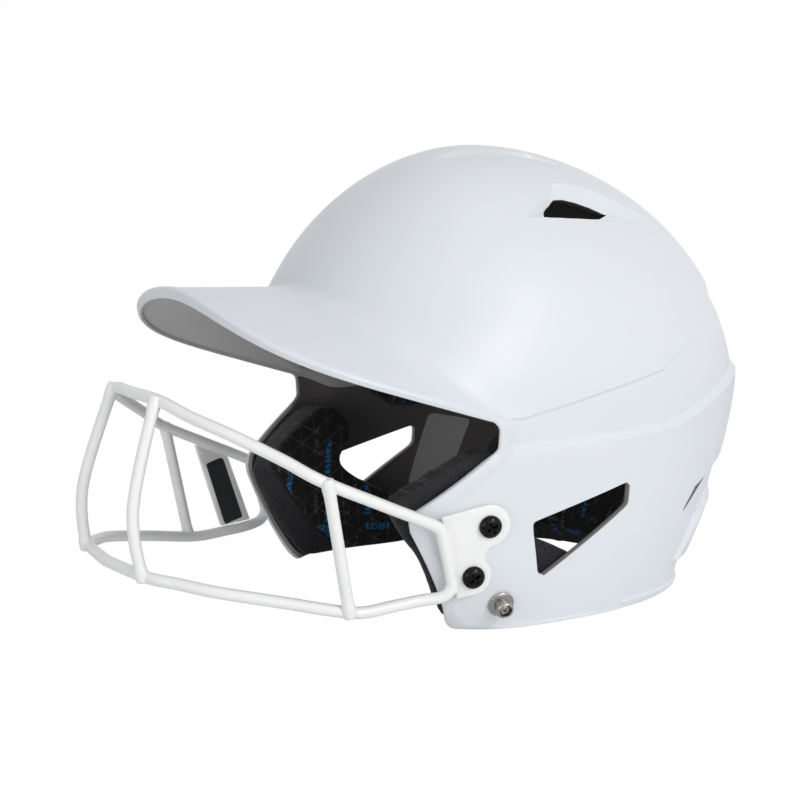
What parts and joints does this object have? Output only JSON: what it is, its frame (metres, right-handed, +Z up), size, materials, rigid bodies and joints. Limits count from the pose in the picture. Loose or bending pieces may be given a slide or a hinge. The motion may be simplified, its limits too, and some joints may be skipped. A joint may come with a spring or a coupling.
{
  "type": "batting helmet with face guard",
  "caption": "White batting helmet with a brim, ear flaps and a bolted wire face guard, lined with foam and padded with dark fabric.",
  "frame": {"origin": "on the floor under the middle of the whole, where the shell stands on its bottom rim", "axes": "-Y towards the brim and guard, +X towards the wearer's left, +Z up"},
  "size_m": [0.2076, 0.3526, 0.225],
  "materials": {
    "shell_plastic": "matte white paint on moulded plastic",
    "guard_coat": "white powder coat on steel wire",
    "black_screw": "gloss black",
    "steel": "bright zinc and stainless",
    "liner_foam": "dark closed-cell foam",
    "pad_fabric": "dark printed lining over charcoal fleece"
  },
  "bodies": {
    "root": {"outer_shell": "shell_plastic", "guard_upper_wire": "guard_coat", "guard_lower_wire": "guard_coat", "guard_centre_upright_left": "guard_coat", "guard_centre_upright_right": "guard_coat", "guard_side_upright_left": "guard_coat", "guard_side_upright_right": "guard_coat", "guard_plate_left": "guard_coat", "guard_plate_right": "guard_coat", "guard_tab_plate": "guard_coat", "guard_screws": "black_screw", "guard_tee_nuts": "steel", "snap_studs": "steel", "snap_screws": "steel", "snap_washers": "steel", "snap_nuts": "steel", "front_liner": "liner_foam", "crown_liner": "liner_foam", "rear_liner": "liner_foam", "side_liner_left": "liner_foam", "side_liner_right": "liner_foam", "forehead_pad": "pad_fabric", "crown_pad": "pad_fabric", "rear_pad": "pad_fabric", "temple_pad_left": "pad_fabric", "temple_pad_right": "pad_fabric", "nape_pad": "pad_fabric", "ear_pad_left": "pad_fabric", "ear_pad_right": "pad_fabric"}
  },
  "joints": []
}
